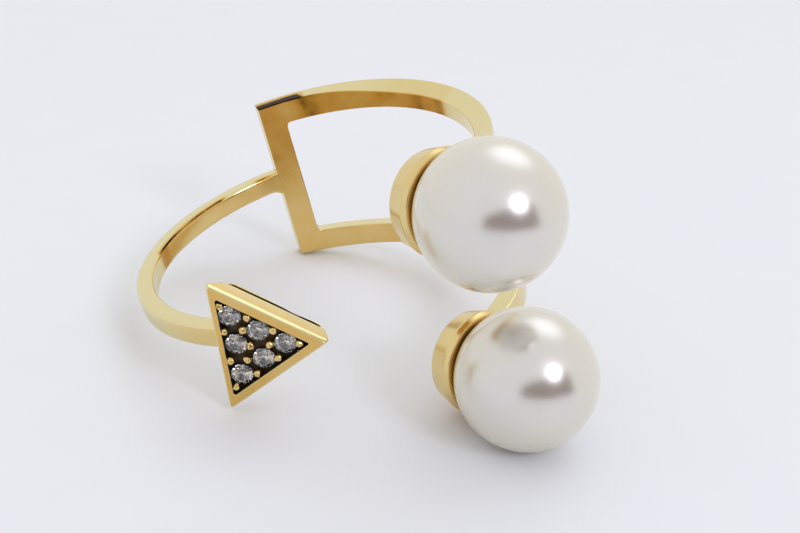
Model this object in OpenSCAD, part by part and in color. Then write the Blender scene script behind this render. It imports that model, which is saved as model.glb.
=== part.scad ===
// Open ring with two pearls and a small arrowhead set with six stones.
// The band is one casting: a straight bar at the back carries two parallel arms that end in
// pearl cups, and from the middle of the bar a thin shank runs round to the arrowhead.
// It is drawn with the finger axis along Z and then laid down as it rests on a table.

/* [Finger hole] */
// inside diameter of the band
inner_d = 17.3; // [14:0.1:22]
// thickness of the band, measured from the finger outwards
wall = 0.95; // [0.7:0.05:1.6]

/* [Bar and arms] */
// height of the whole band at the bar, along the finger
band_h = 9.3; // [7:0.1:12]
// height of each arm
arm_h = 1.27; // [0.9:0.01:2]
// width of the bar, measured round the band
bar_w = 1.39; // [1:0.01:2.5]
// angle of the bar round the finger
bar_at = 112; // [100:1:125]
// lean of the upper arm about the X and Y axes, in degrees
upper_lean = [3.3, 0.1];
// lean of the lower arm about the X and Y axes, in degrees
lower_lean = [-7, 4.6];
// angle round the finger past which the lower arm dips towards its cup
dip_from = 10; // [-10:1:40]
// how steeply it dips there, in degrees
dip = 7; // [0:0.5:12]
// how far the upper and the lower arm run on under their cups, past the pearl's middle
arm_past = [1.5, 0.9];
// radius in the window's inner corners
corner_r = 0.25; // [0.1:0.05:0.6]

/* [Shank] */
// thickness of the shank, a little less than the bar's
shank_wall = 0.92; // [0.7:0.01:1.5]
// height of the shank along the finger
shank_h = 1.13; // [0.8:0.01:2]
// how far the shank stands above the middle of the bar
shank_up = 0.23; // [-1:0.01:1]
// lean of the shank about the X and Y axes, in degrees
shank_lean = [-0.25, -2.2];

/* [Pearls] */
// diameter of each pearl
pearl_d = 6.5; // [4:0.1:8]
// angle of the pearls round the finger
pearl_at = -41; // [-60:1:-20]
// distance of a pearl's centre from the finger's axis
pearl_out = 13.2; // [12:0.05:15]
// height of a pearl's centre above or below the middle of the band
pearl_up = 4.16; // [3.4:0.01:5]

/* [Pearl cups] */
// outside radius of a cup at its rim
cup_rim_r = 2.36; // [1.6:0.01:3]
// outside radius of a cup where it is widest, behind its rounded lip
cup_wide_r = 2.46; // [1.6:0.01:3]
// outside radius of a cup at its base
cup_base_r = 2.2; // [1.4:0.01:3]
// distance from the pearl's centre to the rim
cup_rim_at = 2.56; // [2:0.01:3]
// distance from the pearl's centre to the widest place
cup_wide_at = 2.86; // [2.2:0.01:3.6]
// distance from the pearl's centre to the back of the cup
cup_base_at = 4.04; // [3.5:0.01:4.5]
// bevel round the back of a cup
cup_bevel = 0.18; // [0.05:0.01:0.4]
// radius of the post that holds a pearl
post_r = 0.45; // [0.3:0.05:0.7]
// how far the post reaches into the pearl
post_len = 2.2; // [1:0.1:2.8]

/* [Arrowhead] */
// height of the arrowhead's straight side, along the finger
arrow_side = 6.7; // [5:0.05:9]
// length of the arrowhead from the straight side to its point
arrow_len = 5.05; // [4:0.05:7]
// distance of its front face from the finger's axis
arrow_out = 9.8; // [9.7:0.05:11]
// angle that its front face turns towards, round the finger
arrow_faces = 273.2; // [260:0.1:285]
// how far its middle lies back from there, and up
arrow_at = [-1.89, 0.12];
// turn of the arrowhead about its own face, in degrees
arrow_roll = -7; // [-15:0.5:15]
// thickness of the front plate
plate_t = 0.88; // [0.5:0.01:1.2]
// how far the gallery behind the plate reaches below the front face
gallery_to = 1.28; // [1:0.01:2]
// how far the gallery stands in from the plate's slanting sides, and from its straight side
gallery_in = [0.08, 0.4];
// lean of the straight side, which runs inwards towards the back, in degrees
side_lean = 21; // [0:1:35]
// width of the rim along the two slanting sides, and along the straight side
rim_w = [0.48, 0.35];
// depth of the sunk floor
floor_depth = 0.42; // [0.2:0.01:0.6]

/* [Stones] */
// diameter of each stone
stone_d = 1; // [0.8:0.05:1.4]
// depth of the stones' flat tops below the rim
table_below = 0.1; // [0:0.01:0.3]
// places of the stones, along the arrow and up
stone_at = [[-0.88, 1.51], [-0.82, 0.06], [-0.83, -1.53], [0.25, 0.68], [0.29, -0.75], [1.38, -0.04]];
// places of the gold beads between the stones, along the arrow and up
bead_at = [[-1.22, 2.08], [-0.1, 1.42], [0.93, 0.7], [-1.26, 0.78], [-0.4, 0.8], [-0.2, -0.02],
    [0.68, -0.02], [-1.22, -0.74], [-0.45, -0.74], [-0.1, -1.5], [-1.2, -2.12], [0.95, -0.74],
    [2.02, -0.04]];
// radius of each bead
bead_r = 0.21; // [0.15:0.01:0.3]
// height of a bead's middle above the stones' edges
bead_up = 0.06; // [0:0.01:0.2]

/* [Resting place] */
// turn about the finger's axis before the ring is laid down
turn = -17.26;
// lean about X and then Y when it lies on the lower pearl, the bar's foot and the arrowhead
rest_lean = [-0.02, -19.252];
// shift that brings its middle over the origin and its lowest point onto the table
rest_shift = [-0.969, 2.438, 4.884];

/* [Hidden] */
// order: band casting, pearls, stones
$fn = 96;
in_r = inner_d / 2;
out_r = in_r + wall;
pearl_r = pearl_d / 2;
// clearance that every glued or set piece keeps from the metal
gap = 0.02;
// how deep a part that grows out of the metal is rooted in it
root = 0.05;
// a size larger than the ring, for cutting away everything on one side
far = 20;
// place on the band's inside where the bar stands; the leans turn about it
bar_x = in_r * cos(bar_at);
bar_y = in_r * sin(bar_at);
// half of the bar's width, and the end of the arms, as angles round the finger
bar_half = bar_w / 2 / (in_r + wall / 2) * 180 / PI;
arm_end = [for (past = arm_past) pearl_at - asin(past / (in_r + wall / 2))];
// height where the upper arm's blank meets the lower arm's, just below the upper arm's lowest point
parting = band_h / 4;
// angle at which the shank has run into the gallery
shank_end = arrow_faces - 13;
// proportions of a brilliant, as shares of its diameter
crown_h = 0.15 * stone_d;
girdle_h = 0.05 * stone_d;
pavilion_h = 0.43 * stone_d;
table_r = 0.28 * stone_d;
girdle_top = -table_below - crown_h;
girdle_low = girdle_top - girdle_h;
// the arrowhead's straight side and its point about its middle, and the slant of its sides
arrow_back = -arrow_len / 3;
arrow_tip = arrow_len * 2 / 3;
slope = atan(arrow_side / 2 / arrow_len);
// gold, pearl and stone colours
gold = [0.83, 0.68, 0.38];
cream = [0.93, 0.91, 0.87];
clear = [0.85, 0.87, 0.9];

// as the ring lies: tipped onto the lower pearl, the bar's foot and the arrowhead, then centred
module lying() {
    translate(rest_shift) rotate([rest_lean[0], rest_lean[1], 0]) rotate([0, 0, turn]) children();
}

// a piece of the band between two angles, between two radii and two heights
module arc_band(a0, a1, r0, r1, z0, z1) {
    rotate([0, 0, a0]) rotate_extrude(angle = a1 - a0)
        translate([r0, z0]) square([r1 - r0, z1 - z0]);
}

// everything above a leaning plane that passes the bar at the given height
module above(lean, z) {
    translate([bar_x, bar_y, z]) rotate([lean[0], lean[1], 0])
        translate([-2 * far, -2 * far, 0]) cube([4 * far, 4 * far, far]);
}

// everything below such a plane
module below(lean, z) {
    translate([bar_x, bar_y, z]) rotate([lean[0], lean[1], 0])
        translate([-2 * far, -2 * far, -far]) cube([4 * far, 4 * far, far]);
}

// everything below the lower arm's plane, which dips near the cup
module below_lower(z) {
    intersection() {
        below(lower_lean, z);
        translate([bar_x, bar_y, z]) rotate([lower_lean[0], lower_lean[1], 0])
            translate([-bar_x, -bar_y, 0]) rotate([0, 0, dip_from]) rotate([dip, 0, 0])
                translate([-2 * far, -2 * far, -far]) cube([4 * far, 4 * far, far]);
    }
}

// bar and arms: a broad band with a long window between the arms, open towards the pearls
module bar_and_arms() {
    difference() {
        union() {
            arc_band(arm_end[0], bar_at + bar_half, in_r, out_r, parting, band_h);
            arc_band(arm_end[1], bar_at + bar_half, in_r, out_r, -band_h, parting);
        }
        above(upper_lean, band_h / 2);
        below_lower(-band_h / 2);
        difference() {
            arc_band(arm_end[0] - 5, bar_at - bar_half, in_r - 1, out_r + 1, -band_h, band_h);
            above(upper_lean, band_h / 2 - arm_h);
            below_lower(-band_h / 2 + arm_h);
            corner_fill(band_h / 2 - arm_h, -1);
            corner_fill(-band_h / 2 + arm_h, 1);
        }
    }
}

// metal left in a corner of the window, with its round side into the window
module corner_fill(z, side) {
    half = corner_r + 0.1;
    rotate([0, 0, bar_at - bar_half]) translate([in_r - 2, -corner_r, z + side * corner_r])
        difference() {
            translate([0, 0, side > 0 ? -half : 0]) cube([wall + 4, half, half]);
            translate([-1, 0, 0]) rotate([0, 90, 0]) cylinder(r = corner_r, h = wall + 6);
        }
}

// the thin shank from the bar round to the arrowhead
module shank() {
    difference() {
        arc_band(bar_at, shank_end, in_r, in_r + shank_wall, -band_h, band_h);
        above(shank_lean, shank_up + shank_h / 2);
        below(shank_lean, shank_up - shank_h / 2);
    }
}

// puts a drawing into a pearl's place: its Z axis runs from the pearl to the finger
module at_pearl(side) {
    rotate([0, 0, pearl_at]) translate([pearl_out, 0, side * pearl_up]) rotate([0, -90, 0])
        children();
}

// cup with its post, hollowed to seat the pearl
module cup(side) {
    lip = cup_wide_at - cup_rim_at;
    straight = cup_base_at - cup_bevel - cup_wide_at;
    at_pearl(side) {
        difference() {
            union() {
                translate([0, 0, cup_rim_at]) cylinder(r1 = cup_rim_r, r2 = cup_wide_r, h = lip);
                translate([0, 0, cup_wide_at])
                    cylinder(r1 = cup_wide_r, r2 = cup_base_r, h = straight);
                translate([0, 0, cup_base_at - cup_bevel])
                    cylinder(r1 = cup_base_r, r2 = cup_base_r - cup_bevel, h = cup_bevel);
            }
            sphere(r = pearl_r + gap);
        }
        translate([0, 0, pearl_r - post_len]) cylinder(r = post_r, h = post_len + 6 * root);
    }
}

// pearl drilled half through for its post
module pearl(side) {
    at_pearl(side) difference() {
        sphere(r = pearl_r);
        translate([0, 0, pearl_r - post_len - root]) cylinder(r = post_r + gap, h = post_len + 2 * root);
    }
}

// puts a drawing on the arrowhead's face: X along the arrow, Y up, Z outwards
module on_arrow() {
    rotate([90, 0, arrow_faces - 270]) translate([arrow_at[0], arrow_at[1], arrow_out])
        rotate([0, 0, arrow_roll]) children();
}

// the arrow's outline, moved in by the given widths on its slanting and straight sides
module arrow_outline(slant_in, straight_in) {
    down = slant_in / cos(slope);
    rise = (arrow_tip - arrow_back - straight_in) * tan(slope) - down;
    polygon([[arrow_back + straight_in, rise], [arrow_tip - down / tan(slope), 0],
        [arrow_back + straight_in, -rise]]);
}

// front plate, gallery behind it and the shaped back that clears the finger
module arrow_body() {
    difference() {
        on_arrow() {
            translate([0, 0, -plate_t]) linear_extrude(plate_t) arrow_outline(0, 0);
            translate([0, 0, -gallery_to]) linear_extrude(gallery_to)
                arrow_outline(gallery_in[0], gallery_in[1]);
        }
        on_arrow() translate([arrow_back, 0, 0]) rotate([0, -side_lean, 0])
            translate([-far, -far, -far]) cube([far, 2 * far, 2 * far]);
        cylinder(r = in_r, h = far, center = true);
    }
}

// gold beads that hold the stones
module beads() {
    stem = floor_depth + root + girdle_top + bead_up;
    on_arrow() for (b = bead_at) translate([b[0], b[1], -floor_depth - root]) {
        cylinder(r = bead_r, h = stem);
        translate([0, 0, stem]) sphere(r = bead_r);
    }
}

// the room a stone needs: crown, girdle and pavilion as plain cones
module stone_room(p) {
    r = stone_d / 2 + gap;
    translate([p[0], p[1], 0]) {
        translate([0, 0, girdle_low - pavilion_h - gap])
            cylinder(r1 = root, r2 = r, h = pavilion_h + gap);
        translate([0, 0, girdle_low]) cylinder(r = r, h = girdle_h + gap);
        translate([0, 0, girdle_top + gap]) cylinder(r1 = r, r2 = table_r, h = crown_h);
        translate([0, 0, girdle_top + gap + crown_h]) cylinder(r = table_r, h = 1);
    }
}

// all metal, soldered into one piece
module ring_frame() {
    color(gold) lying() difference() {
        union() {
            bar_and_arms();
            shank();
            cup(1);
            cup(-1);
            difference() {
                arrow_body();
                on_arrow() translate([0, 0, -floor_depth]) linear_extrude(2)
                    arrow_outline(rim_w[0], rim_w[1]);
            }
            beads();
        }
        on_arrow() for (p = stone_at) stone_room(p);
    }
}

// brilliant with a flat top, eight crown facets and eight lower facets
module stone(i) {
    r = stone_d / 2;
    facet_r = r * cos(22.5);
    crown_slope = atan(crown_h / (facet_r - table_r * cos(22.5)));
    low_slope = atan(pavilion_h / facet_r);
    color(clear) lying() on_arrow() translate([stone_at[i][0], stone_at[i][1], 0]) difference() {
        translate([0, 0, girdle_low - pavilion_h])
            cylinder(r = r, h = pavilion_h + girdle_h + crown_h);
        for (k = [0 : 7]) rotate([0, 0, 45 * k]) {
            translate([facet_r, 0, girdle_top]) rotate([0, crown_slope, 0])
                translate([-2 * r, -2 * r, 0]) cube([4 * r, 4 * r, r]);
            translate([facet_r, 0, girdle_low]) rotate([0, -low_slope, 0])
                translate([-2 * r, -2 * r, -r]) cube([4 * r, 4 * r, r]);
        }
    }
}

module pearl_upper() { color(cream) lying() pearl(1); }
module pearl_lower() { color(cream) lying() pearl(-1); }

ring_frame();
pearl_upper();
pearl_lower();
stone(0);  // stone_1
stone(1);  // stone_2
stone(2);  // stone_3
stone(3);  // stone_4
stone(4);  // stone_5
stone(5);  // stone_6
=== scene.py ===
"""A gold ring, open at the front: two pearls in cups at one end of the band and a small arrowhead
with six stones at the other. It lies on a pale table, tipped onto the lower pearl."""
from math import acos, asin, atan, atan2, cos, pi, radians, sin, sqrt, tan

import bmesh
import bpy
from mathutils import Matrix, Vector


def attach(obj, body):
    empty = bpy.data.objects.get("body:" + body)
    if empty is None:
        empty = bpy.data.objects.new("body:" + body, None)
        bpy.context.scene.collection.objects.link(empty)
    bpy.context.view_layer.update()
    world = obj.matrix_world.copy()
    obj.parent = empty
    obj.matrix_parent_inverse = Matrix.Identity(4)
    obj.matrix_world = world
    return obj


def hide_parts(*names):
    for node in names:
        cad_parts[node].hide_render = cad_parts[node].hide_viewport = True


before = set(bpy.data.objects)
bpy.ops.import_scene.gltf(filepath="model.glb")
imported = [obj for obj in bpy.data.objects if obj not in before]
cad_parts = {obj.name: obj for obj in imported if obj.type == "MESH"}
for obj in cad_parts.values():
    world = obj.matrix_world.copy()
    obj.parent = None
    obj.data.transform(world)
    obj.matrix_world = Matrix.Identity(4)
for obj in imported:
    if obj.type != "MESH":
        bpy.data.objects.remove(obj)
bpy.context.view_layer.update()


# BAR AND ARMS
# One flat strip of cast gold: an upright bar with two arms sawn out of one piece, bent round the
# finger with the arms leaning slightly. Its edges are softened by polishing. All the metal is
# drawn in millimetres round the finger's axis, Z along the finger, and then laid on the table.
mm = 0.001
inner_r = 17.3 / 2
wall = 0.95
middle_r = inner_r + wall / 2
band_h = 9.3
arm_h = 1.27
bar_w = 1.39
bar_at = radians(112)
upper_lean = (radians(3.3), radians(0.1))
lower_lean = (radians(-7), radians(4.6))
dip_from = radians(10)
dip = radians(7)
arm_past = (1.5, 0.9)
corner_r = 0.25
edge_r = 0.07
filed_off = 0.42
filed_from = radians(100)
filed_over = radians(40)
pearl_at = radians(-41)
arm_cuts = 110
bar_cuts = 7
corner_cuts = 5
near = 0.001

turn = Matrix.Rotation(radians(-17.26), 4, "Z")
lean = Matrix.Rotation(radians(-19.252), 4, "Y") @ Matrix.Rotation(radians(-0.02), 4, "X")
lying = Matrix.Translation(Vector((-0.969, 2.438, 4.884)) * mm) @ lean @ turn @ Matrix.Scale(mm, 4)


def pick(kind, wanted):
    """Selects the vertices, edges or faces of the piece in edit mode whose middle is wanted."""
    bpy.ops.mesh.select_mode(type=kind)
    bpy.ops.mesh.select_all(action="DESELECT")
    mesh = bmesh.from_edit_mesh(bpy.context.object.data)
    for part in {"VERT": mesh.verts, "EDGE": mesh.edges, "FACE": mesh.faces}[kind]:
        corners = [part] if kind == "VERT" else part.verts
        if wanted(sum((v.co for v in corners), Vector()) / len(corners), part):
            part.select_set(True)
    mesh.select_flush_mode()
    bmesh.update_edit_mesh(bpy.context.object.data)


def begin(name):
    """Names the primitive just added, and opens it in edit mode."""
    piece = bpy.context.object
    piece.name = piece.data.name = name
    bpy.ops.object.transform_apply(location=True, rotation=True, scale=True)
    bpy.ops.object.mode_set(mode="EDIT")
    return piece


def soften(piece, width, angle=40):
    """Rounds a finished piece's edges, as polishing does."""
    bpy.ops.object.mode_set(mode="OBJECT")
    bevel = piece.modifiers.new("polished edges", "BEVEL")
    bevel.width = width
    bevel.segments = 3
    bevel.limit_method = "ANGLE"
    bevel.angle_limit = radians(angle)
    bpy.ops.object.modifier_apply(modifier=bevel.name)


def wrap(piece, start, lift):
    """Bends a flat strip round the finger: X runs round it, Y along the finger, Z outwards."""
    for v in piece.data.vertices:
        at = start + v.co.x / middle_r
        x, y = (inner_r + v.co.z) * cos(at), (inner_r + v.co.z) * sin(at)
        v.co = (x, y, v.co.y + lift(x, y, v.co.y))
    piece.data.update()


def paint_wear_and_light(piece, amount):
    """Writes on each face's corners how dark and brown its gold is, from 0 for polished to 1, for
    the inside's painted reflection, painted shade and highlights, and stains.
    """
    layer = piece.data.attributes.new("wear_and_painted_light", "FLOAT", "CORNER")
    for face in piece.data.polygons:
        for corner, v in zip(face.loop_indices, face.vertices):
            layer.data[corner].value = amount(piece.data.vertices[v].co, face.normal)


def between(value, low, high):
    """0 below the low value, 1 above the high one, and smooth in between."""
    share = min(1, max(0, (value - low) / (high - low)))
    return share * share * (3 - 2 * share)


def leaning(tilt, x, y):
    """Height of a plane that leans about the bar's place, where it passes the point x, y."""
    away_x, away_y = x - inner_r * cos(bar_at), y - inner_r * sin(bar_at)
    return tan(tilt[0]) / cos(tilt[1]) * away_y - tan(tilt[1]) * away_x


def lay_down(piece):
    """Shades a finished piece, lays it on the table with the ring, and fixes it to the part."""
    bpy.ops.object.select_all(action="DESELECT")
    piece.select_set(True)
    bpy.context.view_layer.objects.active = piece
    bpy.ops.object.shade_smooth_by_angle(angle=radians(35))
    even = piece.modifiers.new("even faces", "WEIGHTED_NORMAL")
    even.keep_sharp = True
    even.weight = 80
    bpy.ops.object.modifier_apply(modifier=even.name)
    piece.data.transform(lying)
    piece.select_set(False)
    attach(piece, "root")


arm_in = band_h / 2 - arm_h
root_at = arm_in - corner_r
bpy.ops.object.select_all(action="DESELECT")
bpy.ops.mesh.primitive_cube_add(size=1, location=(0, 0, wall / 2), scale=(bar_w, band_h, wall))
strip = begin("bar_and_arms")
for height in (-root_at, -root_at / 2, 0, root_at / 2, root_at):
    bpy.ops.mesh.select_all(action="SELECT")
    bpy.ops.mesh.bisect(plane_co=(0, height, 0), plane_no=(0, 1, 0))
for side, past in zip((1, -1), arm_past):
    reach = (bar_at - pearl_at + asin(past / middle_r)) * middle_r - bar_w / 2
    for length, cuts in ((corner_r, corner_cuts), (reach - corner_r, arm_cuts)):
        pick("FACE", lambda p, f: side * p.y > root_at and f.normal.x < -0.9)
        ends = [f for f in bmesh.from_edit_mesh(strip.data).faces if f.select]
        left = min(v.co.x for f in ends for v in f.verts)
        bpy.ops.mesh.extrude_region_move(TRANSFORM_OT_translate={"value": (-length, 0, 0)})
        pick("EDGE", lambda p, e: side * p.y > root_at - near and left - length < p.x < left
            and abs(e.verts[0].co.x - e.verts[1].co.x) > length / 2)
        bpy.ops.mesh.subdivide(number_cuts=cuts)
pick("EDGE", lambda p, e: abs(abs(e.verts[0].co.x - e.verts[1].co.x) - bar_w) < near)
bpy.ops.mesh.subdivide(number_cuts=bar_cuts)
bpy.ops.object.mode_set(mode="OBJECT")
for v in strip.data.vertices:
    beyond = -bar_w / 2 - v.co.x
    if beyond > near and abs(v.co.y) < arm_in:
        inside = max(0, corner_r - beyond)
        round_off = corner_r - sqrt(max(0, corner_r ** 2 - inside ** 2))
        v.co.y = (arm_in - round_off) * (1 if v.co.y > 0 else -1)
bpy.ops.object.mode_set(mode="EDIT")
soften(strip, edge_r)

# the upper arm's top face is filed down towards the finger in the arm's middle
for v in strip.data.vertices:
    at = bar_at + v.co.x / middle_r
    in_arm = max(0, (v.co.y - arm_in) / arm_h)
    middle = between(filed_from - at, 0, filed_over)
    v.co.y -= filed_off * middle * in_arm * (1 - v.co.z / wall)


def arm_lift(x, y, height):
    """How far the strip is pushed along the finger there, because its arms lean."""
    share = min(1, max(0, height / arm_in / 2 + 0.5))
    past_dip = max(0, x * sin(dip_from) - y * cos(dip_from))
    lower = leaning(lower_lean, x, y) - tan(dip) * past_dip
    return share * leaning(upper_lean, x, y) + (1 - share) * lower


wrap(strip, bar_at, arm_lift)


def colour(hex_code):
    """An sRGB hex colour as the linear values that Blender works in."""
    parts = [int(hex_code[i:i + 2], 16) / 255 for i in (1, 3, 5)]
    return [c / 12.92 if c <= 0.04045 else ((c + 0.055) / 1.055) ** 2.4 for c in parts] + [1]


def add(material, kind, inputs=(), **settings):
    """Adds a node to the material, with its settings, values and links."""
    node = material.node_tree.nodes.new(kind)
    for name, value in settings.items():
        setattr(node, name, value)
    for name, value in dict(inputs).items():
        if isinstance(value, bpy.types.NodeSocket):
            material.node_tree.links.new(value, node.inputs[name])
        else:
            node.inputs[name].default_value = value
    return node


def new_material(name):
    material = bpy.data.materials.new(name)
    material.use_nodes = True
    material.node_tree.nodes.clear()
    return material


# Pale yellow gold plate. Where it was polished it is mirror-bright, with faint waves left by the
# wheel about a millimetre apart. The inside was only tumbled, so it is softer. Its deeper colour,
# orange to brown in patches one to two millimetres long, is painted reflection of the warm gold
# round it; the same colour scale also carries painted shade lines and painted highlights.
gold = new_material("yellow gold plate")
place = add(gold, "ShaderNodeTexCoord").outputs["Object"]
wear_and_light = add(gold, "ShaderNodeAttribute", attribute_name="wear_and_painted_light")
patches = add(gold, "ShaderNodeTexNoise", {"Vector": place, "Scale": 0.55 / mm, "Detail": 4})
spread = add(gold, "ShaderNodeMapRange", {"Value": patches.outputs["Fac"], "From Min": 0.3,
    "From Max": 0.7, "To Min": 0.8, "To Max": 1.13})
amount = add(gold, "ShaderNodeMath", {0: wear_and_light.outputs["Fac"], 1: spread.outputs["Result"]},
    operation="MULTIPLY", use_clamp=True)
tones = add(gold, "ShaderNodeValToRGB", {"Fac": amount.outputs["Value"]})
tones.color_ramp.elements[0].color = colour("#e9dda8")
tones.color_ramp.elements[1].color = colour("#341c08")
for position, code in ((0.45, "#e2bc6e"), (0.8, "#c69139")):
    tones.color_ramp.elements.new(position).color = colour(code)
waves = add(gold, "ShaderNodeTexNoise", {"Vector": place, "Scale": 0.7 / mm, "Detail": 1.5})
swell = add(gold, "ShaderNodeBump", {"Height": waves.outputs["Fac"], "Strength": 0.35,
    "Distance": 0.05 * mm})
grain = add(gold, "ShaderNodeTexNoise", {"Vector": place, "Scale": 9 / mm, "Detail": 3})
satin = add(gold, "ShaderNodeMapRange", {"Value": amount.outputs["Value"], "To Min": 0.06,
    "To Max": 0.4})
haze = add(gold, "ShaderNodeMapRange", {"Value": grain.outputs["Fac"], "To Min": 0.0,
    "To Max": 0.1})
rough = add(gold, "ShaderNodeMath", {0: satin.outputs["Result"], 1: haze.outputs["Result"]},
    operation="ADD")
shine = add(gold, "ShaderNodeBsdfPrincipled", {"Base Color": tones.outputs["Color"],
    "Metallic": 1.0, "Roughness": rough.outputs["Value"], "Normal": swell.outputs["Normal"]})
add(gold, "ShaderNodeOutputMaterial", {"Surface": shine.outputs["BSDF"]})


# where the strip's painted reflections and stains begin, in degrees round the finger
bar_from = (100.5, 102.5)
black_from = (98, 102)
stain_by_bar = (93, 94.5)
stain_by_pearl = (44.5, 46)
orange_from = (38.7, 40.7)


def past(at, places):
    """0 before the first of two places round the finger, 1 after the second, smooth between."""
    return between(at, *map(radians, places))


def strip_wear_and_painted_light(point, normal):
    """Painted reflection: orange-brown inside the upper arm and the bar's upper half, deep gold on
    the rest inside, and painted dark reflections along the bar's top and window-side edge.
    """
    at = atan2(point.y, point.x)
    inwards = -(normal.x * cos(at) + normal.y * sin(at))
    in_bar = past(at, bar_from)
    stains = past(at, stain_by_bar) + 1 - past(at, stain_by_pearl)
    # painted reflection: the inside's deeper colour stands in for the warm gold it reflects, with
    # darker stains by the bar and the pearl near the top
    inside_reflection_and_stains = 0.38 + 0.4 * between(point.z, -0.6, 2)
    inside_reflection_and_stains += (0.07 * stains * (1 - in_bar) - 0.08 * in_bar) * between(point.z, 2.4, 3.4)
    inside = 0.12 + (inside_reflection_and_stains - 0.12) * past(at, orange_from)
    outside = 0.02 + 0.13 * between(0.6 - normal.z, 0, 0.3)
    # painted reflection: the bar's top is painted black next to the finger, and a painted dark
    # line follows its edge to the window
    by_finger = 1 - between(point.xy.length - inner_r, 0.1, 0.9)
    upwards = between(normal.z, 0.1, 0.4) * between(point.z, 3, 3.2)
    painted_black_top = 2 * past(at, black_from) * by_finger * upwards
    to_window = between(normal.x * sin(at) - normal.y * cos(at), 0.2, 0.5)
    painted_line = 0.92 * in_bar * to_window * between(inwards, 0.2, 0.5)
    painted_line *= between(3.3 - abs(point.z), 0, 0.3)
    return max(outside + (inside - outside) * between(inwards, 0.3, 0.85), painted_black_top, painted_line)


paint_wear_and_light(strip, strip_wear_and_painted_light)
strip.data.materials.append(gold)
lay_down(strip)
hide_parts("ring_frame")

# SHANK
# A thin strip of the same gold, soldered to the middle of the bar, that runs round the finger
# to the back of the arrowhead.
shank_wall = 0.92
shank_h = 1.13
shank_up = 0.23
shank_lean = (radians(-0.25), radians(-2.2))
shank_edge_r = 0.28
shank_in_bar = 0.3
fillet = 0.35
fillet_long = 0.6
arrow_faces = radians(273.2)
behind_arrow = radians(13)
shank_from = bar_at + (bar_w / 2 - shank_in_bar) / middle_r
shank_end = arrow_faces - behind_arrow

shank_long = (shank_end - shank_from) * middle_r
bpy.ops.mesh.primitive_cube_add(size=1, location=(shank_long / 2, shank_up, shank_wall / 2),
    scale=(shank_long, shank_h, shank_wall))
shank = begin("shank")
pick("EDGE", lambda p, e: abs(e.verts[0].co.x - e.verts[1].co.x) > near)
bpy.ops.mesh.subdivide(number_cuts=arm_cuts)
soften(shank, shank_edge_r)

# solder fills the corner under the shank where it meets the bar
for v in shank.data.vertices:
    if v.co.y < shank_up:
        v.co.y -= fillet * max(0, 1 - max(0, v.co.x - shank_in_bar) / fillet_long) ** 2
wrap(shank, shank_from, lambda x, y, height: leaning(shank_lean, x, y))


# where the shank's marks, its painted dark line and painted highlight among them, begin or end, in
# degrees round the finger
line_from = (116, 122)
painted_glint_from = (124, 127)
painted_glint_to = (137, 140)
paler_from = (130, 150)
stain_from = (171.5, 174.5)
bend_from = (179, 182)
deeper_from = (215, 250)


def shank_wear_and_painted_light(point, normal):
    """Deep gold inside from the bar to the bend, where an orange stain ends it, then pale. A
    painted dark reflection runs along the upper inner edge, with a painted highlight in it.
    """
    at = atan2(point.y, point.x) % (2 * pi)
    inwards = -(normal.x * cos(at) + normal.y * sin(at))
    upwards = between(normal.z, 0.1, 0.4)
    before_bend = 1 - past(at, bend_from)
    # painted highlight: at one place on the top edge the gold is painted pale and polished
    bright = past(at, painted_glint_from) * (1 - past(at, painted_glint_to))
    inside = 0.3 - 0.14 * past(at, paler_from) + 0.5 * past(at, stain_from)
    inside = (0.1 + inside * before_bend) * (1 - bright * upwards)
    outside = 0.25 * past(at, deeper_from) * between(0.6 - normal.z, 0, 0.3)
    # painted reflection: a dark line is painted along its upper inner edge up to the bend, with
    # one painted highlight in it, where the top is painted pale
    painted_line = 0.95 * before_bend * upwards * between(inwards, 0.1, 0.4)
    painted_line *= past(at, line_from) * (1 - bright)
    return max(outside + (inside - outside) * between(inwards, 0.3, 0.8), painted_line)


paint_wear_and_light(shank, shank_wear_and_painted_light)
shank.data.materials.append(gold)

# PEARL CUPS
# Turned gold cups soldered on the arms' ends. Each has a hollow rim that follows the pearl, and
# a post in its middle on which the drilled pearl is glued.
pearl_r = 6.5 / 2
pearl_out = 13.2
pearl_up = 4.16
cup_rim_r = 2.36
cup_wide_r = 2.46
cup_base_r = 2.2
cup_rim_at = 2.56
cup_wide_at = 2.86
cup_base_at = 4.04
cup_bevel = 0.18
cup_edge_r = 0.06
post_r = 0.45
post_long = 2.2
gap = 0.02
round_cuts = 128
hollow_steps = 10


def at_pearl(side):
    """The place of the upper or lower pearl: its Z axis runs from the pearl to the finger."""
    return (Matrix.Rotation(pearl_at, 4, "Z") @ Matrix.Translation((pearl_out, 0, side * pearl_up))
        @ Matrix.Rotation(radians(-90), 4, "Y"))


def cup_tone_and_painted_shade(point, normal):
    """Painted shade: the rim's hollow is painted darker towards the pearl, as a shadow line; the
    cup's side is deeper gold low down.
    """
    if normal.z > -0.4:
        return 0.2 + 0.45 * between(-point.x, 0.3, 2.2)
    # painted shade: the hollow darkens from the rim's edge inwards towards the pearl
    return 0.95 - 0.6 * between(point.xy.length, cup_rim_r - 0.2, cup_rim_r - 0.07)


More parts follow.
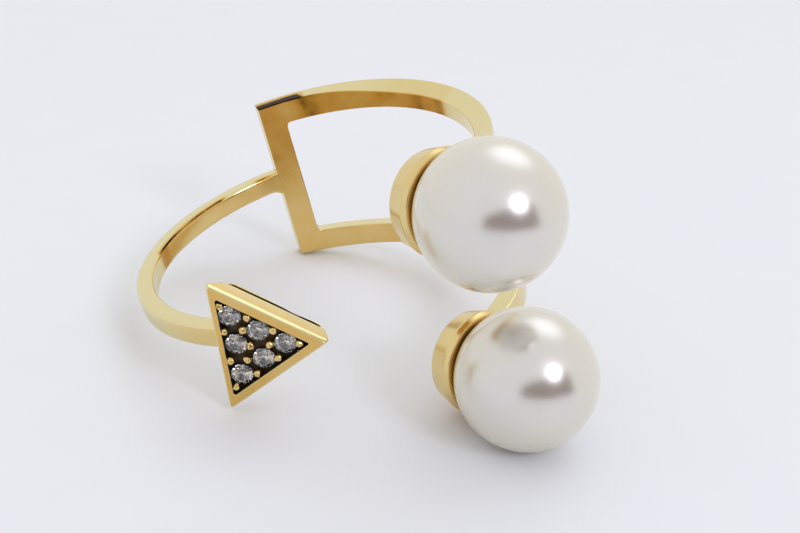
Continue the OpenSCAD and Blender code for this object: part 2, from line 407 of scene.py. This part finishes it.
for side, name in ((1, "cup_upper"), (-1, "cup_lower")):
    lip = cup_wide_at - cup_rim_at
    straight = cup_base_at - cup_bevel - cup_wide_at
    bpy.ops.mesh.primitive_cone_add(vertices=round_cuts, radius1=cup_rim_r, radius2=cup_wide_r,
        depth=lip, location=(0, 0, cup_rim_at + lip / 2))
    cup = begin(name)
    pick("FACE", lambda p, f: f.normal.z > 0.9)
    for rise, shrink in ((straight, cup_base_r / cup_wide_r),
            (cup_bevel, 1 - cup_bevel / cup_base_r)):
        bpy.ops.mesh.extrude_region_move(TRANSFORM_OT_translate={"value": (0, 0, rise)})
        bpy.ops.transform.resize(value=(shrink, shrink, 1))
    # the hollow goes in along the pearl's own curve, ring by ring, and ends round the post
    seat_r = pearl_r + gap
    first, last = acos(cup_rim_at / seat_r), asin(post_r / seat_r)
    pick("FACE", lambda p, f: f.normal.z < -0.9)
    bpy.ops.mesh.inset(thickness=cup_rim_r - seat_r * sin(first))
    for step in range(hollow_steps):
        here = first + (last - first) * step / hollow_steps
        there = first + (last - first) * (step + 1) / hollow_steps
        bpy.ops.mesh.extrude_region_move(
            TRANSFORM_OT_translate={"value": (0, 0, seat_r * (cos(there) - cos(here)))})
        shrink = sin(there) / sin(here)
        bpy.ops.transform.resize(value=(shrink, shrink, 1))
    post_tip = pearl_r - post_long
    bpy.ops.mesh.extrude_region_move(
        TRANSFORM_OT_translate={"value": (0, 0, post_tip - seat_r * cos(last))})
    soften(cup, cup_edge_r, 25)
    paint_wear_and_light(cup, cup_tone_and_painted_shade)
    cup.data.materials.append(gold)
    cup.data.transform(at_pearl(side))
    lay_down(cup)
    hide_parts("ring_frame")

# PEARLS
# Two round white pearls of 6.5 mm, drilled half through and glued on their posts. The skin has
# a soft satin lustre from its many thin layers, under a clear shine. It is a cool white seen
# straight on, with a cream sheen at a slant.
pearl_skin = new_material("white nacre")
place = add(pearl_skin, "ShaderNodeTexCoord").outputs["Object"]
clouds = add(pearl_skin, "ShaderNodeTexNoise", {"Vector": place, "Scale": 0.35 / mm,
    "Detail": 2})
body = add(pearl_skin, "ShaderNodeMix", {"Factor": clouds.outputs["Fac"],
    "A": colour("#e3dfd7"), "B": colour("#e0dfdf")}, data_type="RGBA")
slant = add(pearl_skin, "ShaderNodeLayerWeight", {"Blend": 0.5})
tint = add(pearl_skin, "ShaderNodeMix", {"Factor": slant.outputs["Facing"],
    "A": body.outputs["Result"], "B": colour("#e8e3ce")}, data_type="RGBA")
dimples = add(pearl_skin, "ShaderNodeTexNoise", {"Vector": place, "Scale": 1.2 / mm,
    "Detail": 2})
skin = add(pearl_skin, "ShaderNodeBump", {"Height": dimples.outputs["Fac"], "Strength": 0.12,
    "Distance": 0.03 * mm})
lustre = add(pearl_skin, "ShaderNodeBsdfPrincipled", {"Base Color": tint.outputs["Result"],
    "Metallic": 0.75, "Roughness": 0.26, "IOR": 1.53, "Subsurface Weight": 0.25,
    "Subsurface Scale": 0.6 * mm, "Subsurface Radius": (1.0, 0.8, 0.6), "Coat Weight": 0.5,
    "Coat Roughness": 0.18, "Normal": skin.outputs["Normal"]})
add(pearl_skin, "ShaderNodeOutputMaterial", {"Surface": lustre.outputs["BSDF"]})

for side, name in ((1, "pearl_upper"), (-1, "pearl_lower")):
    bpy.ops.mesh.primitive_uv_sphere_add(segments=128, ring_count=96, radius=pearl_r)
    pearl = begin(name + "_skin")
    # the drilled hole, facing the cup
    pick("FACE", lambda p, f: p.z > 0 and p.xy.length < post_r + gap)
    bpy.ops.mesh.extrude_region_move(TRANSFORM_OT_translate={"value": (0, 0, -post_long - gap)})
    bpy.ops.object.mode_set(mode="OBJECT")
    pearl.data.materials.append(pearl_skin)
    pearl.data.transform(at_pearl(side))
    lay_down(pearl)
    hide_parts(name)

# ARROWHEAD
# A small cast gold plate with a raised rim round a sunk floor, on a narrower gallery that is
# hollowed behind to the finger's curve. The floor is brown-black, and the stones stand out on it.
arrow_side = 6.7
arrow_long = 5.05
arrow_out = 9.8
arrow_at = (-1.89, 0.12)
arrow_roll = radians(-7)
plate = 0.88
gallery_to = 1.28
gallery_in = (0.08, 0.4)
side_lean = radians(21)
rim_w = (0.48, 0.35)
floor_down = 0.42
groove_in = 0.14
groove_h = 0.27
edge_profile = ((0.115, 0), (0.06, 0.035), (0.03, 0.1), (0, 0.24))
plate_corner_r = 0.09
back_corner_r = 0.3
neck_corner_r = 0.25
gallery_corner_r = 0.4
arrow_edge_r = 0.05
gallery_edge_r = 0.04
corner_steps = 4
arrow_back = -arrow_long / 3
arrow_tip = arrow_long * 2 / 3
slope = atan(arrow_side / 2 / arrow_long)
on_arrow = (Matrix.Rotation(arrow_faces - radians(270), 4, "Z")
    @ Matrix.Rotation(radians(90), 4, "X") @ Matrix.Translation((*arrow_at, arrow_out))
    @ Matrix.Rotation(arrow_roll, 4, "Z"))


def outline(slant_in, straight_in, radius):
    """The arrow's outline with rounded corners, moved in from its slanting and straight sides."""
    down = slant_in / cos(slope)
    back = arrow_back + straight_in
    rise = (arrow_tip - back) * tan(slope) - down
    tip = arrow_tip - down / tan(slope)
    points = []
    # each corner: its place, half of its angle, and the direction from it into the arrow
    for x, y, half, inwards in ((tip, 0, slope, pi),
            (back, rise, pi / 4 - slope / 2, -pi / 4 - slope / 2),
            (back, -rise, pi / 4 - slope / 2, pi / 4 + slope / 2)):
        middle = Vector((x, y)) + Vector((cos(inwards), sin(inwards))) * radius / sin(half)
        for step in range(corner_steps + 1):
            way = inwards + pi + (pi / 2 - half) * (2 * step / corner_steps - 1)
            points.append(middle + Vector((cos(way), sin(way))) * radius)
    return points


def shell(name, turns):
    """A solid whose surface runs through the arrow's outline at each turn, closed at both ends."""
    bpy.ops.mesh.primitive_circle_add(vertices=3 * (corner_steps + 1), fill_type="NGON")
    piece = begin(name)
    for number, (slant_in, straight_in, radius, height) in enumerate(turns):
        if number == 1:
            bpy.ops.mesh.select_mode(type="EDGE")
            bpy.ops.mesh.region_to_loop()
        if number:
            bpy.ops.mesh.extrude_edges_move()
        mesh = bmesh.from_edit_mesh(piece.data)
        moved = [v for v in mesh.verts if v.select]
        for v, point in zip(moved, outline(slant_in, straight_in, radius)):
            v.co = (point.x, point.y, height)
        bmesh.update_edit_mesh(piece.data)
    bpy.ops.mesh.edge_face_add()
    bpy.ops.mesh.select_all(action="SELECT")
    bpy.ops.mesh.normals_make_consistent(inside=False)
    return piece


# each turn: in from the slanting sides, in from the straight side, corner radius and height
rounded = [(inset, inset + depth * tan(side_lean), plate_corner_r, -depth)
    for inset, depth in edge_profile]
arrow = shell("arrowhead", ((*rim_w, plate_corner_r, -floor_down), (*rim_w, plate_corner_r, 0),
    *rounded, (0, plate * tan(side_lean), back_corner_r, -plate)))
soften(arrow, arrow_edge_r)
neck = (gallery_in[0] + groove_in, gallery_in[1] + groove_in, neck_corner_r)
gallery = shell("arrow_gallery", ((*neck, -plate + groove_in), (*neck, -plate - groove_h),
    (*gallery_in, gallery_corner_r, -plate - groove_h),
    (gallery_in[0], gallery_to * tan(side_lean), gallery_corner_r, -gallery_to)))
soften(gallery, gallery_edge_r)


def cut_away(piece, cutter):
    """Cuts the object just added out of a finished piece."""
    bpy.ops.object.select_all(action="DESELECT")
    bpy.context.view_layer.objects.active = piece
    cut = piece.modifiers.new("cut", "BOOLEAN")
    cut.object = cutter
    cut.solver = "EXACT"
    bpy.ops.object.modifier_apply(modifier=cut.name)
    bpy.data.objects.remove(cutter)


# the curve that lies against the finger
bpy.ops.mesh.primitive_cylinder_add(vertices=256, radius=inner_r, depth=3 * band_h)
finger = bpy.context.object
finger.data.transform(on_arrow.inverted())
cut_away(gallery, finger)

stone_d = 1.0
table_down = 0.1
crown_h = 0.15 * stone_d
girdle_h = 0.05 * stone_d
pavilion_h = 0.43 * stone_d
table_r = 0.28 * stone_d
girdle_top = -table_down - crown_h
girdle_low = girdle_top - girdle_h
stone_at = ((-0.88, 1.51), (-0.82, 0.06), (-0.83, -1.53), (0.25, 0.68), (0.29, -0.75),
    (1.38, -0.04))
bead_at = ((-1.22, 2.08), (-0.1, 1.42), (0.93, 0.7), (-1.26, 0.78), (-0.4, 0.8), (-0.2, -0.02),
    (0.68, -0.02), (-1.22, -0.74), (-0.45, -0.74), (-0.1, -1.5), (-1.2, -2.12), (0.95, -0.74),
    (2.02, -0.04))
bead_r = 0.22
bead_up = 0.06
bead_turn = 2.4
seat_cuts = 48

# a drilled seat under each stone, also where the shank's end runs in behind it
seat_h = pavilion_h + 2 * gap
for x, y in stone_at:
    for piece, placed in ((arrow, Matrix()), (shank, on_arrow)):
        bpy.ops.mesh.primitive_cone_add(vertices=seat_cuts, radius1=0,
            radius2=stone_d / 2 + gap, depth=seat_h)
        seat = bpy.context.object
        seat.data.transform(placed @ Matrix.Translation((x, y, girdle_low + gap - seat_h / 2)))
        cut_away(piece, seat)
lay_down(shank)
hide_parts("ring_frame")

# Dark floor gold: the sunk floor is brown-black, mottled, and less shiny than the rest.
black = new_material("dark floor gold")
place = add(black, "ShaderNodeTexCoord").outputs["Object"]
mottle = add(black, "ShaderNodeTexNoise", {"Vector": place, "Scale": 3 / mm, "Detail": 3})
dark = add(black, "ShaderNodeMix", {"Factor": mottle.outputs["Fac"], "A": colour("#1d1712"),
    "B": colour("#4a3a24")}, data_type="RGBA")
dark_floor = add(black, "ShaderNodeBsdfPrincipled", {"Base Color": dark.outputs["Result"],
    "Metallic": 0.6, "Roughness": 0.45})
add(black, "ShaderNodeOutputMaterial", {"Surface": dark_floor.outputs["BSDF"]})


def arrow_tone_and_painted_light(point, normal):
    """Deep gold on the rim's front, a bright polished edge round it, a painted dark reflection on
    the sides that pales to the back, and painted shade on the plate's back over the groove.
    """
    if normal.z > 0.95 or normal.z < -0.9:
        return 0.46 if normal.z > 0 else 1
    # painted reflection: a darker band on the sides just behind the polished edge, paling to the
    # back
    return 0.32 * between(-point.z, 0.12, 0.24) - 0.25 * between(-point.z, 0.24, plate)


paint_wear_and_light(arrow, arrow_tone_and_painted_light)
# painted shade: the gallery's neck and the lip's front, inside the groove, are painted dark brown
paint_wear_and_light(gallery, lambda point, normal: 1 if point.z > -plate - groove_h - near else 0.05)
gallery.data.materials.append(gold)
gallery.data.transform(on_arrow)
lay_down(gallery)
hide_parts("ring_frame")
arrow.data.materials.append(gold)
arrow.data.materials.append(black)
for face in arrow.data.polygons:
    x, y, z = face.center
    from_slant = ((arrow_tip - x) * tan(slope) - abs(y)) * cos(slope)
    in_rim = from_slant > rim_w[0] - 0.02 and x > arrow_back + rim_w[1] - 0.02
    face.material_index = 1 if in_rim and -plate + near < z < -0.08 else 0
arrow.data.transform(on_arrow)
lay_down(arrow)
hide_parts("ring_frame")

# PRONG BEADS
# Small gold beads raised from the floor and pushed over the stones' edges: one bead is shaped,
# a round head on a short stem, and repeated between the stones.
bpy.ops.object.select_all(action="DESELECT")
bpy.ops.mesh.primitive_ico_sphere_add(subdivisions=2, radius=bead_r)
bead = begin("prong_beads")
bpy.ops.mesh.select_all(action="SELECT")
bpy.ops.transform.vertex_random(offset=0.08, seed=4)
pick("VERT", lambda p, v: p.z < -0.05)
stem = floor_down + girdle_top + bead_up
bpy.ops.transform.resize(value=(1, 1, 0.1))
bpy.ops.transform.translate(value=(0, 0, -stem))
bpy.ops.object.mode_set(mode="OBJECT")
smooth = bead.modifiers.new("smooth", "SUBSURF")
smooth.levels = 2
bpy.ops.object.modifier_apply(modifier=smooth.name)
paint_wear_and_light(bead, lambda point, normal: 0.28)
bead.data.materials.append(gold)
beads = [bead]
for number, (x, y) in enumerate(bead_at):
    copy = bead.copy()
    copy.data = bead.data.copy()
    copy.data.transform(Matrix.Translation((x, y, girdle_top + bead_up))
        @ Matrix.Rotation(bead_turn * number, 4, "Z"))
    bpy.context.collection.objects.link(copy)
    beads.append(copy)
bpy.data.objects.remove(beads.pop(0))
for copy in beads:
    copy.select_set(True)
bpy.context.view_layer.objects.active = beads[0]
bpy.ops.object.join()
bead = bpy.context.object
bead.name = bead.data.name = "prong_beads"
bead.data.transform(on_arrow)
lay_down(bead)
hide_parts("ring_frame")

# STONES
# Six round brilliants of 1 mm in cubic zirconia: a flat table, eight star, eight kite and
# sixteen upper facets, a thin girdle, and twenty-four facets below. They sit in drilled seats.
star_r = (stone_d / 2 + table_r) / 2 / cos(pi / 8)
lower_share = 0.77
points = [(0, 0, -pavilion_h - girdle_h)]
for n in range(8):
    at, halfway = n * pi / 4, (n + 0.5) * pi / 4
    r = stone_d / 2
    lower_r = (1 - lower_share) * r / cos(pi / 8)
    points += [(table_r * cos(at), table_r * sin(at), crown_h),
        (star_r * cos(halfway), star_r * sin(halfway), crown_h / 2),
        (lower_r * cos(halfway), lower_r * sin(halfway), -girdle_h - lower_share * pavilion_h)]
    for edge in (at, halfway):
        points += [(r * cos(edge), r * sin(edge), 0), (r * cos(edge), r * sin(edge), -girdle_h)]

# Cubic zirconia, polished flat on each facet: clear, with strong glints and dark reflections; the
# dark reflections are painted into its colour as blue-grey blotches about half a millimetre
# across.
zirconia = new_material("clear cubic zirconia")
place = add(zirconia, "ShaderNodeTexCoord").outputs["Object"]
painted_reflection_noise = add(zirconia, "ShaderNodeTexNoise", {"Vector": place, "Scale": 2 / mm})
painted_dark_reflections = add(zirconia, "ShaderNodeMapRange", {"Value": painted_reflection_noise.outputs["Fac"], "From Min": 0.38,
    "From Max": 0.62})
stone_tint_and_reflection = add(zirconia, "ShaderNodeMix", {"Factor": painted_dark_reflections.outputs["Result"], "A": colour("#fffcf4"),
    "B": colour("#5a6275")}, data_type="RGBA")
glass = add(zirconia, "ShaderNodeBsdfPrincipled", {"Base Color": stone_tint_and_reflection.outputs["Result"],
    "Roughness": 0.02, "IOR": 2.15, "Transmission Weight": 1.0})
add(zirconia, "ShaderNodeOutputMaterial", {"Surface": glass.outputs["BSDF"]})

for number, (x, y) in enumerate(stone_at):
    bpy.ops.object.select_all(action="DESELECT")
    bpy.ops.mesh.primitive_circle_add(vertices=len(points), radius=stone_d)
    stone = begin(f"stone_{number + 1}_cut")
    mesh = bmesh.from_edit_mesh(stone.data)
    for v, point in zip(mesh.verts, points):
        v.co = point
    bmesh.update_edit_mesh(stone.data)
    bpy.ops.mesh.select_all(action="SELECT")
    bpy.ops.mesh.convex_hull(delete_unused=True, use_existing_faces=False, join_triangles=True,
        face_threshold=radians(1), shape_threshold=radians(180))
    bpy.ops.object.mode_set(mode="OBJECT")
    stone.data.materials.append(zirconia)
    stone.data.transform(on_arrow @ Matrix.Translation((x, y, girdle_top)))
    bpy.ops.object.shade_flat()
    stone.data.transform(lying)
    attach(stone, "root")
    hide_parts(f"stone_{number + 1}")

# TABLE
# A plain pale sheet of matt board, wide enough that its edge never shows. The ring lies on it,
# and it isn't part of the ring.
bpy.ops.object.select_all(action="DESELECT")
bpy.ops.mesh.primitive_plane_add(size=4)
table = bpy.context.object
table.name = "table"
# Uncoated board: no shine, and faint clouds a few millimetres across.
paper = new_material("matt pale sheet")
place = add(paper, "ShaderNodeTexCoord").outputs["Object"]
fibres = add(paper, "ShaderNodeTexNoise", {"Vector": place, "Scale": 0.25 / mm, "Detail": 2})
shade = add(paper, "ShaderNodeMix", {"Factor": fibres.outputs["Fac"], "A": colour("#eceef3"),
    "B": colour("#eff1f5")}, data_type="RGBA")
flat = add(paper, "ShaderNodeBsdfPrincipled", {"Base Color": shade.outputs["Result"],
    "Roughness": 0.6})
add(paper, "ShaderNodeOutputMaterial", {"Surface": flat.outputs["BSDF"]})
table.data.materials.append(paper)

# LIGHT
# A small cool lamp in front on the right, in a pale room with a hazy window behind on the right.
# Both show on the pearls and along the polished gold.
lamp_way = Vector((0.43, -0.7, 0.568)).normalized()
lamp_away = 0.5
window_way = Vector((0.334, 0.463, 0.821)).normalized()
patch_half = (0.66, 0.45)
patch_turn = (0, radians(14), radians(72))
lights = bpy.context.collection
lamp = bpy.data.lights.new("lamp", "AREA")
lamp.shape = "DISK"
lamp.size = 0.15
lamp.energy = 0.5
lamp.color = colour("#eeeeff")[:3]
light = bpy.data.objects.new("lamp", lamp)
lights.objects.link(light)
light.location = lamp_way * lamp_away
light.rotation_euler = (-light.location).to_track_quat("-Z", "Y").to_euler()

# the room: pale walls, and a darker, warmer side in front on the right, low above the table
room = bpy.data.worlds.new("pale room")
room.use_nodes = True
room.node_tree.nodes.clear()
way = add(room, "ShaderNodeTexCoord").outputs["Generated"]
turned = add(room, "ShaderNodeMapping", {"Vector": way, "Rotation": patch_turn},
    vector_type="POINT").outputs["Vector"]
seen = add(room, "ShaderNodeVectorMath", {0: turned, 1: (0, 1 / patch_half[0], 1 / patch_half[1])},
    operation="MULTIPLY").outputs["Vector"]
boxy = add(room, "ShaderNodeVectorMath", {0: seen, 1: seen}, operation="MULTIPLY")
off = add(room, "ShaderNodeVectorMath", {0: boxy.outputs["Vector"]}, operation="LENGTH")
front = add(room, "ShaderNodeSeparateXYZ", {"Vector": turned})
ahead_of = add(room, "ShaderNodeMath", {0: front.outputs["X"], 1: 0.0}, operation="GREATER_THAN")
inside = add(room, "ShaderNodeMapRange", {"Value": off.outputs["Value"], "From Min": 0.85,
    "From Max": 1.1, "To Min": 1.0, "To Max": 0.0}, interpolation_type="SMOOTHSTEP")
amount = add(room, "ShaderNodeMath", {0: inside.outputs["Result"], 1: ahead_of.outputs["Value"]},
    operation="MULTIPLY")
walls = add(room, "ShaderNodeMix", {"Factor": amount.outputs["Value"], "A": colour("#e6e5e5"),
    "B": colour("#654b2e")}, data_type="RGBA")
# the window's light fades out evenly between 4 and 26 degrees from its middle
facing = add(room, "ShaderNodeVectorMath", {0: way, 1: window_way}, operation="DOT_PRODUCT")
window = add(room, "ShaderNodeMapRange", {"Value": facing.outputs["Value"],
    "From Min": cos(radians(26)), "From Max": cos(radians(4)), "To Min": 0.0, "To Max": 1.0},
    interpolation_type="SMOOTHSTEP").outputs["Result"]
bright = add(room, "ShaderNodeMath", {0: window, 1: 0.7, 2: 1.09}, operation="MULTIPLY_ADD")
daylight = add(room, "ShaderNodeMix", {"Factor": window, "A": walls.outputs["Result"],
    "B": colour("#eceff8")}, data_type="RGBA")
glow = add(room, "ShaderNodeBackground", {"Color": daylight.outputs["Result"],
    "Strength": bright.outputs["Value"]})
add(room, "ShaderNodeOutputWorld", {"Surface": glow.outputs["Background"]})
bpy.context.scene.world = room

# CAMERA
# It stands where the photograph was taken from: about 6 cm away, 24.5 degrees above the table,
# and rolled by 6.4 degrees.
eye = Vector((-9.66, -53.942, 29.769)) * mm
ahead = Vector((0.20268, 0.88713, -0.41464)).normalized()
roughly_up = Vector((-0.01628, 0.42642, 0.90438))
right = ahead.cross(roughly_up).normalized()
lens = bpy.data.cameras.new("camera")
lens.sensor_width = 36
lens.lens = 55.08
lens.clip_start = 2 * mm
camera = bpy.data.objects.new("camera", lens)
lights.objects.link(camera)
axes = Matrix((right, right.cross(ahead), -ahead)).transposed().to_4x4()
camera.matrix_world = Matrix.Translation(eye) @ axes
bpy.context.scene.camera = camera
bpy.context.scene.view_settings.view_transform = "Standard"
